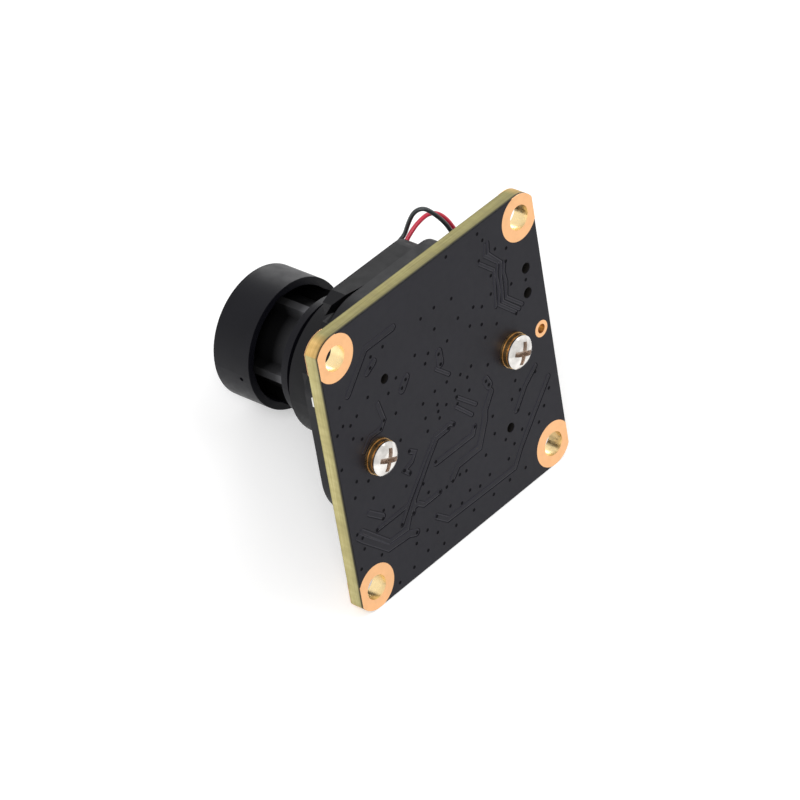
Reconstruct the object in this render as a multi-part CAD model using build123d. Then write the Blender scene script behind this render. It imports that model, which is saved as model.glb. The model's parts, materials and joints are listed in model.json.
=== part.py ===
from build123d import *
import math
import os

# Small camera module: a circuit board with a screw-in lens in a holder that has a
# switchable infrared-cut filter.
# Frame: millimetres, origin at the centre of the four mounting holes on the board's
# back face, +Y out of the back, -Y towards the lens, +Z towards the board's top edge.

# How far a cutting body runs past the face that it starts from
cut_overrun = 0.1

# Board
board_width = 31.0
board_height = 32.0
board_thickness = 1.6
mount_margin_x = 2.15
mount_margin_z = 2.45
mount_hole_diameter = 2.6
land_diameter = 5.0
plating = 0.05
io_margin = 1.4
io_hole_diameter = 1.0
io_land_diameter = 1.8
io_plating = 0.2

# Holder screws and their washers, from the board's back
screw_edge = 2.5
screw_centre = (0.2, 0.2)
screw_diameter = 2.0
screw_length = 5.0
screw_head_diameter = 3.5
screw_head_height = 0.8
screw_head_bevel = 0.15
screw_head_rim = 0.3
screw_head_flat = 1.05
screw_clearance = 0.1
pilot_clearance = 0.02
pilot_end_room = 0.2
recess_width = 0.62
recess_reach = 2.5
recess_depth = 0.65
recess_taper = 12
recess_turn = 25
washer_diameter = 3.7
flat_washer_thickness = 0.3
spring_washer_thickness = 0.45
spring_washer_gap = 0.5
spring_washer_inset = 0.05
spring_washer_turn = 200

# Optical axis, parallel to Y
axis_x = 0.0
axis_z = -0.15

# Holder base
side_strip = 3.05
base_top = 13.2
base_bottom = -10.0
base_depth = 4.4
base_bevel = 5.7
base_top_round = 2.4
base_notch_round = 6.0
base_bottom_round = 6.0
peg_places = ((7.6, 7.6), (-7.85, -8.05))
peg_diameter = 0.84
peg_hole_diameter = 1.0
peg_recess = 0.9
sensor_room = 15.0
sensor_room_depth = 2.0
sensor_room_round = 1.0
light_hole_diameter = 8.6

# Holder cover and lens tube
cover_step = 2.2
cover_bottom = -8.2
cover_depth = 2.3
cover_bevel_line = 17.2
cover_bottom_round = 4.0
block_left = 6.05
block_right = -6.75
block_left_bevel = (1.4, 0.6)
block_right_round = 2.3
notch_start = (2.5, 13.2)
notch_top = (1.1, 12.7)
notch_foot = (2.3, 11.0)
notch_run_in = 1.0
notch_drop = 0.6
tube_diameter = 14.7
tube_front = -14.0
tube_root = 0.5
tube_mouth_bevel = 0.4
throat_diameter = 9.6
throat_depth = 1.6

# Lens barrel
thread_diameter = 11.94
thread_clearance = 0.06
thread_bevel = 0.3
lens_rear = -8.8
relief_depth = 0.5
relief_width = 0.95
flange_diameter = 12.6
flange_rear = -15.25
flange_thickness = 0.8
neck_diameter = 9.2
hood_diameter = 13.75
hood_rear = -19.9
hood_front = -24.75
hood_wall = 0.95
hood_floor = -22.4
hood_round = 0.15
hood_inner_bevel = 0.15
rib_count = 5
rib_thickness = 0.85
rib_reach = 6.2
rib_root = 0.5
rib_start_angle = 7.0
glue_hole_diameter = 0.45
glue_hole_y = -21.1
glue_hole_drop = 0.5

# Glasses and rings in the barrel
glass_clearance = 0.05
front_seat_diameter = 11.1
front_seat_depth = 1.75
front_glass_edge = 0.5
front_glass_rim = 0.95
front_glass_back_rim = 2.15
front_glass_sag = 0.8
front_ring_width = 0.85
front_ring_height = 0.7
front_ring_flare = 0.3
middle_bore_diameter = 7.6
middle_glass_gap = 1.9
middle_glass_edge = 0.8
middle_glass_sag = 0.5
inner_ring_wall = 0.35
web_front = -16.6
web_thickness = 0.7
web_hole_diameter = 3.0
web_hole_flare = 0.3
rear_bore_diameter = 8.8
rear_glass_edge = 2.6
rear_glass_sag = 0.6
rear_ring_height = 1.0
rear_ring_wall = 0.4
rear_ring_flare = 0.1

# Filter drive
filter_stroke = 6.4
carriage_thickness = 0.8
carriage_clearance = 0.08
carriage_rim = 0.2
carriage_rail_gap = 0.1
channel_depth = 0.95
channel_half_height = 4.85
filter_width = 5.7
filter_height = 7.4
filter_thickness = 0.5
filter_ledge = 0.4
arm_swing = 90.0
rotor_height = 9.7
magnet_diameter = 3.2
magnet_gap = 0.25
magnet_length = 1.9
arm_magnet_gap = 0.1
pole_gap = 0.3
shaft_diameter = 0.8
shaft_clearance = 0.03
shaft_foot_depth = 0.35
shaft_head_depth = 1.1
arm_thickness = 0.45
arm_width = 1.0
arm_tip_room = 0.15
arm_turn_room = 14
hub_diameter = 2.2
hub_step = 0.3
pin_diameter = 0.8
fork_slack = 0.22
fork_prong = 0.85
fork_past_pin = 0.2
fork_side_room = 0.1
fork_top_room = 0.15
yoke_thickness = 1.3
yoke_arm_width = 0.9
yoke_back_x = -5.0
yoke_reach = 2.2
shoe_share = 0.45
shoe_set_back = 0.2
coil_width = 2.9
coil_depth = 2.3
winding_inset = 0.1
winding_round = 0.4
bobbin_flange = 0.3
bobbin_wall = 0.15
bobbin_round = 0.3
bobbin_end_gap = 0.1
core_clearance = 0.05
motor_floor = 0.65
motor_side_room = 0.2
motor_end_room = 0.15

# Leads
lead_diameter = 0.45
terminal_pitch = 0.9
terminal_x = -5.4
terminal_diameter = 0.4
terminal_length = 0.3
terminal_drop = 0.4
lead_slot_room = 0.3
lead_bend_share = 0.45

# Lead connector
header_margin = 1.6
header_z = 6.3
header_size = (2.5, 4.2, 3.0)
header_pitch = 1.25
header_wall = 0.45
header_notch_width = 1.4
header_notch_drop = 1.4
header_peg_steps = ((0.65, 1.4), (0.9, -1.35))
header_peg_hole_diameter = 1.1
header_peg_diameter = 0.9
plug_height = 3.0
plug_floor_gap = 0.6
plug_gap = 0.05
plug_round = 0.15
plug_bore_share = 0.8
pin_width = 0.35
pin_room = 0.1
pin_share = 0.75

# Flat-cable connector
ffc_pins = 15
ffc_land_gap = 0.65
ffc_end = 3.2
ffc_cheek = 2.05
ffc_top = -10.3
ffc_mouth = -14.0
ffc_height = 2.6
ffc_bevel = 0.25
ffc_floor = 0.8
ffc_slot_height = 1.1
ffc_slot_depth = 3.1
ffc_latch_depth = 1.0
ffc_latch_step = 1.25
ffc_latch_bevel = 0.2
ffc_tongue = 0.45
ffc_tongue_gap = 0.05
ffc_tongue_share = 0.84
ffc_arm_inset = 0.55
ffc_arm_room = (0.7, 2.6, 1.5)
ffc_arm = (0.5, 2.3, 1.1)
ffc_contact_width = 0.3
ffc_contact_gap = 0.04
ffc_contact_rise = 0.12
ffc_contact_thickness = 0.2
ffc_contact_bends = (0.23, 0.39, 0.45, 0.55)
ffc_foot_groove = 0.3
ffc_beam_groove = (0.25, 0.55)
lug_size = (0.5, 1.8, 0.2)
lug_drop = 1.6

# Parts on the front of the board
sensor_size = (8.4, 8.4, 1.0)
sensor_glass_size = (6.8, 6.8, 0.4)
chip_margin = 1.65
regulator_size = (1.9, 1.9, 0.6)
regulator_pitch = 2.8
regulator_z = 2.0
oscillator_size = (2.0, 2.5, 0.7)
oscillator_z = -3.6
oscillator_bevel = 0.12
indicator_size = (0.85, 1.0, 0.45)
indicator_margin = 0.65
indicator_z = 8.95
chip_length = 0.56
chip_width = 0.5
chip_end_length = 0.24
chip_end_width = 0.54
chip_end_lip = 0.02
chip_row_inset = 0.45
chip_row_left = (9.4, 7.9, 6.6, -6.2)
chip_row_right = (2.6, -1.7, -3.2, -4.7)
chip_ring_reach = 6.0
chip_ring_long = (-4.5, -1.5, 1.5, 4.5)
chip_ring_short = (-3.0, 0.0, 3.0)

board_front = -board_thickness
mount_x = board_width / 2 - mount_margin_x
mount_z = board_height / 2 - mount_margin_z
io_place = (io_margin - board_width / 2, 0.0)
header_x = header_margin - board_width / 2
header_place = (header_x, header_z)
base_width = board_width - 2 * side_strip
cover_width = base_width - 2 * cover_step
screw_pitch = base_width - 2 * screw_edge
base_front = board_front - base_depth
ffc_width = 2 * (mount_x - land_diameter / 2 - ffc_land_gap)
ffc_pitch = (ffc_width - 2 * ffc_end) / (ffc_pins - 1)
ffc_slot_width = ffc_width - 2 * ffc_cheek
cover_front = base_front - cover_depth
carriage_back = base_front + channel_depth - carriage_clearance
carriage_front = carriage_back - carriage_thickness
rotor_x = axis_x
rotor_z = axis_z + rotor_height
arm_radius = filter_stroke / 2 / math.sin(math.radians(arm_swing / 2))
carriage_x = axis_x - filter_stroke / 2
motor_floor_y = board_front - motor_floor
magnet_back = motor_floor_y - magnet_gap
magnet_front = magnet_back - magnet_length
arm_back = magnet_front - arm_magnet_gap
arm_front = arm_back - arm_thickness
yoke_back = (magnet_back + magnet_front + yoke_thickness) / 2
yoke_front = yoke_back - yoke_thickness
pole_radius = magnet_diameter / 2 + pole_gap
yoke_half_height = pole_radius + yoke_arm_width
terminal_z = rotor_z + pole_radius - terminal_drop
front_seat = hood_front + front_seat_depth
middle_seat = front_seat + middle_glass_edge + middle_glass_gap
web_rear = web_front + web_thickness


def facing_front(y):
    """Sketch plane at height y whose sketches read as (x, z) and grow towards the lens."""
    return Plane(origin=(0, y, 0), x_dir=(1, 0, 0), z_dir=(0, -1, 0))


def slab(sketch, y_back, y_front):
    return extrude(facing_front(y_back) * sketch, amount=y_back - y_front)


def drum(place, diameter, y_back, y_front):
    return slab(Pos(*place) * Circle(diameter / 2), y_back, y_front)


def block(place, size, y_back):
    """Block of size (x, z, y) whose centre is at place and whose back is at y_back."""
    return slab(Pos(*place) * Rectangle(size[0], size[1]), y_back, y_back - size[2])


def turned(points, round_axis=(axis_x, axis_z)):
    """Solid of revolution of (radius, y) points about an axis parallel to Y."""
    profile = make_face(Polyline(*points, close=True))
    return Pos(round_axis[0], 0, round_axis[1]) * revolve(profile, Axis.Y)


def corner_places():
    return [(sx * mount_x, sz * mount_z) for sx, sz in ((1, 1), (-1, 1), (-1, -1), (1, -1))]


def screw_places():
    x, z = screw_centre
    return [(x + screw_pitch / 2, z), (x - screw_pitch / 2, z)]


def board_outline():
    """Rectangle with its corners rounded about the mounting holes."""
    sheet = Rectangle(board_width, board_height)
    outline = sheet
    for x, z in corner_places():
        corner = (math.copysign(board_width / 2, x), math.copysign(board_height / 2, z))
        outline -= Pos(*corner) * Rectangle(2 * mount_margin_x, 2 * mount_margin_z)
    for place in corner_places():
        outline += Pos(*place) * Circle(mount_margin_z)
    return outline & sheet


def circuit_board():
    outline = board_outline()
    for place in corner_places():
        outline -= Pos(*place) * Circle(mount_hole_diameter / 2 + plating)
    outline -= Pos(*io_place) * Circle(io_hole_diameter / 2 + io_plating)
    for place in screw_places():
        outline -= Pos(*place) * Circle(screw_diameter / 2 + screw_clearance)
    for place in peg_places:
        outline -= Pos(*place) * Circle(peg_hole_diameter / 2)
    for place in header_peg_places():
        outline -= Pos(*place) * Circle(header_peg_hole_diameter / 2)
    return slab(outline, 0, board_front)


def plated_hole(place, hole_diameter, pad_diameter, wall_thickness):
    """Copper lands on both faces, joined by the lining of the hole."""
    pad = (Pos(*place) * Circle(pad_diameter / 2)) & board_outline()
    bore = Pos(*place) * Circle(hole_diameter / 2)
    wall = Pos(*place) * Circle(hole_diameter / 2 + wall_thickness)
    land = slab(pad - bore, plating, 0)
    land += slab(wall - bore, 0, board_front)
    land += slab(pad - bore, board_front, board_front - plating)
    return land


def corner_lands():
    return [
        plated_hole(place, mount_hole_diameter, land_diameter, plating)
        for place in corner_places()
    ]


def io_land():
    return plated_hole(io_place, io_hole_diameter, io_land_diameter, io_plating)


def holder_screw(place):
    """Pan-head screw with a cross recess, its head behind the washers."""
    seat = flat_washer_thickness + spring_washer_thickness
    top = seat + screw_head_height
    r = screw_head_diameter / 2
    rim = seat + screw_head_rim
    flat_radius = screw_head_flat / 2
    profile = Polyline(
        (0, seat),
        (r - screw_head_bevel, seat),
        (r, seat + screw_head_bevel),
        (r, rim),
    )
    crown = TangentArc((flat_radius, top), (r, rim), tangent=(1, 0))
    flat = Polyline((flat_radius, top), (0, top), (0, seat))
    head = revolve(make_face(profile + crown + flat), Axis.Y)
    head = Pos(place[0], 0, place[1]) * head
    tip = seat - screw_length
    shank = drum(place, screw_diameter, seat, tip + screw_diameter / 4)
    point = turned(
        [
            (0, tip + screw_diameter / 4),
            (screw_diameter / 2, tip + screw_diameter / 4),
            (screw_diameter / 4, tip),
            (0, tip),
        ],
        place,
    )
    cross = Rectangle(recess_reach, recess_width) + Rectangle(recess_width, recess_reach)
    start = top + cut_overrun
    cut = extrude(
        facing_front(start) * (Pos(*place) * Rot(0, 0, recess_turn) * cross),
        amount=recess_depth + cut_overrun,
        taper=recess_taper,
    )
    return head + shank + point - cut


def flat_washer(place):
    ring = Circle(washer_diameter / 2) - Circle(screw_diameter / 2 + screw_clearance)
    return slab(Pos(*place) * ring, flat_washer_thickness, 0)


def spring_washer(place):
    """Split ring, cut on a slant."""
    back = flat_washer_thickness + spring_washer_thickness
    ring = Circle(washer_diameter / 2 - spring_washer_inset)
    ring -= Circle(screw_diameter / 2 + screw_clearance)
    split = Pos(washer_diameter / 2, 0) * Rectangle(washer_diameter / 2, spring_washer_gap)
    ring = Pos(*place) * Rot(0, 0, spring_washer_turn) * (ring - split)
    return slab(ring, back, flat_washer_thickness)


def base_outline():
    """Upright body with bevelled top corners and round bottom ones, softest above the notch."""
    w = base_width / 2
    corners = [
        (-w, base_bottom),
        (w, base_bottom),
        (w, base_top - base_bevel),
        (w - base_bevel, base_top),
        (-w + base_bevel, base_top),
        (-w, base_top - base_bevel),
    ]
    shape = make_face(Polyline(*corners, close=True))
    above_notch = shape.vertices().group_by(Axis.Y)[-1].sort_by(Axis.X)[-1]
    shape = fillet(above_notch, base_notch_round)
    near = base_bevel / 4
    sides = [v for v in shape.vertices() if abs(v.X) > w - near and v.Y > base_bottom + near]
    corner = shape.vertices().group_by(Axis.Y)[-1].sort_by(Axis.X)[0]
    shape = fillet(sides + [corner], base_top_round)
    low = shape.vertices().group_by(Axis.Y)[0]
    return fillet(low, base_bottom_round)


def channel():
    """Room for the carriage and its fork over the whole stroke, as (x, z)."""
    reach = filter_width + filter_ledge + carriage_rim + filter_stroke / 2 + carriage_clearance
    fork = fork_half_width() + filter_stroke / 2 + carriage_clearance + fork_side_room
    room = Rectangle(2 * reach, 2 * channel_half_height)
    top = fork_top() - axis_z + fork_top_room
    room += Pos(0, top / 2) * Rectangle(2 * fork, top)
    return Pos(axis_x, axis_z) * room


def fork_half_width():
    return pin_diameter / 2 + fork_slack + fork_prong


def fork_top():
    """Height that keeps the pin between the prongs at both ends of its swing."""
    swing = math.radians(arm_swing / 2)
    return rotor_z - arm_radius * math.cos(swing) + pin_diameter / 2 + fork_past_pin


def motor_room():
    """Pocket for the yoke, the coil and the swinging arm, as (x, z)."""
    left = yoke_back_x + yoke_arm_width / 2 - coil_width / 2 - motor_side_room
    right = rotor_x + yoke_reach + motor_side_room
    half = yoke_half_height + motor_end_room
    return Pos((left + right) / 2, rotor_z) * Rectangle(right - left, 2 * half)


def arm_room():
    """Sector that the arm sweeps."""
    reach = arm_radius + arm_width / 2 + arm_tip_room
    side = arm_swing / 2 + arm_turn_room
    sector = Circle(reach) & Polygon(
        (0, 0),
        (-reach * math.tan(math.radians(side)), -reach),
        (reach * math.tan(math.radians(side)), -reach),
        align=None,
    )
    return Pos(rotor_x, rotor_z) * sector


def holder_base():
    body = slab(base_outline(), board_front, base_front)
    room = Pos(axis_x, axis_z) * RectangleRounded(sensor_room, sensor_room, sensor_room_round)
    body -= slab(room, board_front, board_front - sensor_room_depth)
    body -= drum((axis_x, axis_z), light_hole_diameter, board_front, base_front)
    body -= slab(channel(), base_front + channel_depth, base_front)
    body -= slab(motor_room(), motor_floor_y, base_front)
    body -= slab(arm_room(), arm_back + arm_magnet_gap, base_front)
    body -= drum((rotor_x, rotor_z), shaft_diameter, motor_floor_y + shaft_foot_depth, motor_floor_y)
    pilot_end = flat_washer_thickness + spring_washer_thickness - screw_length - pilot_end_room
    for place in screw_places():
        body -= drum(place, screw_diameter + 2 * pilot_clearance, board_front, pilot_end)
    for place in peg_places:
        body += drum(place, peg_diameter, -peg_recess, board_front)
    return body


def cover_outline():
    """Shoulders parallel to the base's bevels, with the drive's block on top."""
    w = cover_width / 2
    left_foot = cover_bevel_line - block_left
    right_foot = cover_bevel_line + block_right
    shape = make_face(
        Polyline(
            (-w, cover_bottom),
            (w, cover_bottom),
            (w, cover_bevel_line - w),
            (block_left, left_foot),
            (block_left, base_top - block_left_bevel[1]),
            (block_left - block_left_bevel[0], base_top),
            (block_right, base_top),
            (block_right, right_foot),
            (-w, cover_bevel_line - w),
            close=True,
        )
    )
    low = shape.vertices().group_by(Axis.Y)[0]
    shape = fillet(low, cover_bottom_round)
    high = shape.vertices().group_by(Axis.Y)[-1].sort_by(Axis.X)[0]
    return fillet(high, block_right_round)


def pry_notch():
    """Slanted notch between cover and base at the block's left end."""
    start = Vector(notch_start[0], base_front, notch_start[1])
    top = Vector(block_left, base_front - notch_top[0], notch_top[1])
    foot = Vector(block_left, base_front - notch_foot[0], notch_foot[1])
    normal = (top - start).cross(foot - start).normalized()
    if normal.Y < 0:
        normal = -normal
    room = Box(
        block_left - notch_start[0] + notch_run_in,
        cover_depth + cut_overrun,
        base_top - cover_bevel_line + block_left + notch_drop,
        align=(Align.MIN, Align.MAX, Align.MAX),
    )
    room = Pos(notch_start[0], base_front + cut_overrun, base_top + cut_overrun) * room
    wide = board_width
    half_space = Box(wide, wide, wide / 2, align=(Align.CENTER, Align.CENTER, Align.MIN))
    return room & Plane(origin=start, z_dir=normal) * half_space


def holder_cover():
    body = slab(cover_outline(), base_front, cover_front)
    body += drum((axis_x, axis_z), tube_diameter, cover_front + tube_root, tube_front)
    bore = thread_diameter / 2 + thread_clearance
    seat = base_front - throat_depth
    body -= turned(
        [
            (0, base_front + cut_overrun),
            (throat_diameter / 2, base_front + cut_overrun),
            (throat_diameter / 2, seat),
            (bore, seat),
            (bore, tube_front + tube_mouth_bevel),
            (bore + tube_mouth_bevel, tube_front),
            (bore + tube_mouth_bevel, tube_front - cut_overrun),
            (0, tube_front - cut_overrun),
        ]
    )
    body -= pry_notch()
    body -= drum((rotor_x, rotor_z), shaft_diameter, base_front, base_front - shaft_head_depth)
    slot = SlotCenterToCenter(terminal_pitch, lead_diameter + lead_slot_room)
    body -= slab(Pos(terminal_x, terminal_z) * slot, base_front, cover_front)
    return body


def filter_carriage():
    """Sliding frame with two seats for the filters and a fork for the rotor's pin."""
    half = filter_width + filter_ledge + carriage_rim
    height = channel_half_height - carriage_rail_gap
    plate = Rectangle(2 * half, 2 * height)
    for side in (-1, 1):
        across = pin_diameter / 2 + fork_slack + fork_prong / 2
        tall = fork_top() - axis_z - height
        plate += Pos(side * across, height + tall / 2) * Rectangle(fork_prong, tall)
    frame = slab(Pos(carriage_x, axis_z) * plate, carriage_back, carriage_front)
    for place in filter_places():
        window = Rectangle(filter_width - 2 * filter_ledge, filter_height - 2 * filter_ledge)
        seat = Rectangle(filter_width + 2 * glass_clearance, filter_height + 2 * glass_clearance)
        frame -= slab(Pos(*place) * window, carriage_back, carriage_front)
        frame -= slab(Pos(*place) * seat, carriage_front + filter_thickness, carriage_front)
    return frame


def filter_places():
    """The first filter is in front of the sensor at rest."""
    half = filter_stroke / 2
    return [(carriage_x + half, axis_z), (carriage_x - half, axis_z)]


def filter_glass(place):
    return block(place, (filter_width, filter_height, filter_thickness), carriage_front + filter_thickness)


def yoke_half(side):
    """Half of the yoke: an arm with a pole shoe and half of the coil's core."""
    reach = rotor_x + yoke_reach
    arm_mid = pole_radius + yoke_arm_width / 2
    shape = Pos((yoke_back_x + reach) / 2, side * arm_mid) * Rectangle(reach - yoke_back_x, yoke_arm_width)
    core_high = pole_radius + yoke_arm_width
    core_x = yoke_back_x + yoke_arm_width / 2
    shape += Pos(core_x, side * core_high / 2) * Rectangle(yoke_arm_width, core_high)
    shoe_high = yoke_half_height - shoe_share * magnet_diameter / 2
    shoe_mid = side * (yoke_half_height - shoe_high / 2)
    shoe = Rectangle(2 * yoke_reach - shoe_set_back, shoe_high)
    shape += Pos(rotor_x + shoe_set_back / 2, shoe_mid) * shoe
    shape -= Pos(rotor_x, 0) * Circle(pole_radius)
    return slab(Pos(0, rotor_z) * shape, yoke_back, yoke_front)


def coil_places():
    """Centre of the coil's core and half of the bobbin's height."""
    half = pole_radius - bobbin_end_gap
    return yoke_back_x + yoke_arm_width / 2, (yoke_back + yoke_front) / 2, half


def coil_bobbin():
    x, y, half = coil_places()
    wall = bobbin_wall + core_clearance
    tube = Box(yoke_arm_width + 2 * wall, yoke_thickness + 2 * wall, 2 * half)
    for side in (-1, 1):
        plate = Box(coil_width, coil_depth, bobbin_flange)
        plate = fillet(plate.edges().filter_by(Axis.Z), bobbin_round)
        tube += Pos(0, 0, side * (half - bobbin_flange / 2)) * plate
    room = 2 * core_clearance
    tube -= Box(yoke_arm_width + room, yoke_thickness + room, 4 * half)
    return Pos(x, y, rotor_z) * tube


def coil_winding():
    x, y, half = coil_places()
    high = 2 * (half - bobbin_flange)
    coil = Box(coil_width - 2 * winding_inset, coil_depth - 2 * winding_inset, high)
    coil = fillet(coil.edges().filter_by(Axis.Z), winding_round)
    wall = bobbin_wall + core_clearance
    coil -= Box(yoke_arm_width + 2 * wall, yoke_thickness + 2 * wall, 2 * high)
    return Pos(x, y, rotor_z) * coil


def terminal_places():
    """The black lead's terminal is the one nearer to the rotor."""
    half = terminal_pitch / 2
    return [(terminal_x + half, terminal_z), (terminal_x - half, terminal_z)]


def coil_terminals():
    """Pins in the bobbin's upper flange, one for each lead."""
    front = (yoke_back + yoke_front) / 2 - coil_depth / 2
    end = front - terminal_length
    return [drum(place, terminal_diameter, front, end) for place in terminal_places()]


def rotor_magnet():
    ring = Circle(magnet_diameter / 2) - Circle(shaft_diameter / 2 + shaft_clearance)
    return slab(Pos(rotor_x, rotor_z) * ring, magnet_back, magnet_front)


def rotor_arm():
    """Hub, arm and pin, pointing down to the first end of the stroke."""
    swing = math.radians(arm_swing / 2)
    tip = (-arm_radius * math.sin(swing), -arm_radius * math.cos(swing))
    blade = SlotCenterToCenter(arm_radius, arm_width)
    blade = Rot(0, 0, 270 - arm_swing / 2) * (Pos(arm_radius / 2, 0) * blade)
    shape = Circle(hub_diameter / 2) + blade - Circle(shaft_diameter / 2 + shaft_clearance)
    arm = slab(Pos(rotor_x, rotor_z) * shape, arm_back, arm_front)
    neck = Circle(hub_diameter / 2 - hub_step) - Circle(shaft_diameter / 2 + shaft_clearance)
    arm += slab(Pos(rotor_x, rotor_z) * neck, magnet_front, arm_back)
    arm += drum((rotor_x + tip[0], rotor_z + tip[1]), pin_diameter, arm_front, carriage_front)
    return arm


def rotor_shaft():
    back = motor_floor_y + shaft_foot_depth
    return drum((rotor_x, rotor_z), shaft_diameter, back, base_front - shaft_head_depth)


def lens_barrel():
    """Threaded shank, flange, ribbed neck and open-backed hood, moulded in one piece."""
    shank = thread_diameter / 2
    relief = shank - relief_depth
    neck = neck_diameter / 2
    hood = hood_diameter / 2
    flange = flange_diameter / 2
    flange_front = flange_rear - flange_thickness
    body = turned(
        [
            (0, lens_rear),
            (shank - thread_bevel, lens_rear),
            (shank, lens_rear - thread_bevel),
            (shank, flange_rear + relief_width),
            (relief, flange_rear + relief_width),
            (relief, flange_rear),
            (flange, flange_rear),
            (flange, flange_front),
            (neck, flange_front),
            (neck, hood_floor),
            (hood - hood_wall, hood_floor),
            (hood - hood_wall, hood_rear - hood_inner_bevel),
            (hood - hood_wall + hood_inner_bevel, hood_rear),
            (hood, hood_rear),
            (hood, hood_front + hood_round),
            (hood - hood_round, hood_front),
            (0, hood_front),
        ]
    )
    for index in range(rib_count):
        angle = rib_start_angle + index * 360 / rib_count
        reach = rib_reach - neck + rib_root
        rib = Pos(neck - rib_root + reach / 2, 0) * Rectangle(reach, rib_thickness)
        body += slab(Pos(axis_x, axis_z) * Rot(0, 0, angle) * rib, flange_front, hood_floor)
    body -= turned(
        [
            (0, hood_front),
            (front_seat_diameter / 2, hood_front),
            (front_seat_diameter / 2, front_seat),
            (middle_bore_diameter / 2, front_seat),
            (middle_bore_diameter / 2, web_front),
            (web_hole_diameter / 2, web_front),
            (web_hole_diameter / 2 + web_hole_flare, web_rear),
            (rear_bore_diameter / 2, web_rear),
            (rear_bore_diameter / 2, lens_rear),
            (0, lens_rear),
        ]
    )
    hole = Cylinder(glue_hole_diameter / 2, 2 * hood_wall, rotation=(0, 90, 0))
    across = hood - hood_wall / 2
    return body - Pos(axis_x + across, glue_hole_y, axis_z - glue_hole_drop) * hole


def dome(radius, edge_y, sag):
    """Arc from the edge of a spherical face, towards -Y for a positive sag, to its apex."""
    sphere = (radius**2 + sag**2) / (2 * sag)
    half = math.asin(radius / abs(sphere)) / 2
    middle = (abs(sphere) * math.sin(half), edge_y - sag + sphere * (1 - math.cos(half)))
    return ThreePointArc((radius, edge_y), middle, (0, edge_y - sag))


def glass(front_face, back_face, edge_radius, edge_front, edge_back):
    """Lens of two spherical faces, each given as (radius, sag), with a flat rim."""
    front = dome(front_face[0], edge_front, front_face[1])
    back = dome(back_face[0], edge_back, back_face[1])
    rim = Polyline(
        (front_face[0], edge_front),
        (edge_radius, edge_front),
        (edge_radius, edge_back),
        (back_face[0], edge_back),
    )
    core = Line((0, edge_front - front_face[1]), (0, edge_back - back_face[1]))
    profile = make_face(front + rim + back + core)
    return Pos(axis_x, 0, axis_z) * revolve(profile, Axis.Y)


def front_glass():
    edge = front_seat_diameter / 2 - glass_clearance
    front_face = (front_seat_diameter / 2 - front_glass_rim, front_glass_sag)
    back_face = (front_seat_diameter / 2 - front_glass_back_rim, front_glass_sag)
    return glass(front_face, back_face, edge, front_seat - front_glass_edge, front_seat)


def front_retainer():
    outer = front_seat_diameter / 2 - glass_clearance
    back = front_seat - front_glass_edge
    front = back - front_ring_height
    inner = outer - front_ring_width
    return turned([(inner, back), (outer, back), (outer, front), (inner + front_ring_flare, front)])


def middle_glass():
    edge = middle_bore_diameter / 2 - glass_clearance
    face = edge - inner_ring_wall
    return glass(
        (face, middle_glass_sag),
        (face, -middle_glass_sag),
        edge,
        middle_seat - middle_glass_edge,
        middle_seat,
    )


def spacer_ring():
    """Tube between the middle glass and the web that stops the light."""
    outer = middle_bore_diameter / 2 - glass_clearance
    inner = outer - inner_ring_wall
    return turned([(inner, web_front), (outer, web_front), (outer, middle_seat), (inner, middle_seat)])


def rear_glass():
    edge = rear_bore_diameter / 2 - glass_clearance
    face = edge - rear_ring_wall
    return glass(
        (face, -rear_glass_sag),
        (face, -rear_glass_sag),
        edge,
        web_rear,
        web_rear + rear_glass_edge,
    )


def rear_retainer():
    outer = rear_bore_diameter / 2 - glass_clearance
    inner = outer - rear_ring_wall
    front = web_rear + rear_glass_edge
    back = front + rear_ring_height
    return turned([(inner, front), (outer, front), (outer, back), (inner + rear_ring_flare, back)])


def lead(points):
    """Insulated wire along straight runs joined by the largest arcs that fit."""
    radii = []
    for before, here, after in zip(points, points[1:], points[2:]):
        a = Vector(*here) - Vector(*before)
        b = Vector(*after) - Vector(*here)
        turn = math.radians(a.get_angle(b))
        radii.append(lead_bend_share * min(a.length, b.length) / math.tan(turn / 2))
    path = FilletPolyline(*points, radius=radii)
    start = Plane(origin=path @ 0, z_dir=path % 0)
    return sweep(start * Circle(lead_diameter / 2), path=path)


def lead_ends(index):
    """Both ends of a lead: at its coil terminal and in the plug, where the two swap sides."""
    terminal = terminal_places()[index]
    terminal_front = (yoke_back + yoke_front) / 2 - coil_depth / 2 - terminal_length
    pin = pin_places()[1 - index]
    return (terminal[0], terminal_front, terminal[1]), (pin[0], plug_front(), pin[1])


def black_lead():
    start, end = lead_ends(0)
    route = [
        start,
        (-4.95, -8.7, 11.05),
        (-5.7, -10.3, 10.9),
        (-7.8, -10.3, 11.2),
        (-8.1, -9.85, 12.6),
        (-8.4, -9.1, 14.1),
        (-9.03, -8.28, 14.5),
        (-9.7, -7.6, 13.6),
        (-10.32, -6.98, 12.42),
        (-10.6, -6.6, 11.3),
        (-11.5, -6.5, 9.6),
        (-12.4, -7.0, 7.9),
        (-13.4, -7.5, 6.5),
        (-13.9, -6.7, 5.68),
        end,
    ]
    return lead(route)


def red_lead():
    start, end = lead_ends(1)
    route = [
        start,
        (-5.85, -8.1, 11.05),
        (-6.6, -9.5, 10.85),
        (-7.8, -9.45, 11.8),
        (-8.7, -9.1, 12.65),
        (-10.03, -8.82, 13.07),
        (-10.96, -8.4, 12.68),
        (-11.65, -7.99, 11.67),
        (-12.03, -7.67, 10.5),
        (-12.9, -7.6, 8.8),
        (-13.7, -7.5, 7.5),
        (-13.9, -6.6, 6.93),
        end,
    ]
    return lead(route)


def pin_places():
    return [(header_x, header_z + header_pitch / 2), (header_x, header_z - header_pitch / 2)]


def header_peg_places():
    return [(header_x + step_x, header_z + step_z) for step_x, step_z in header_peg_steps]


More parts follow.
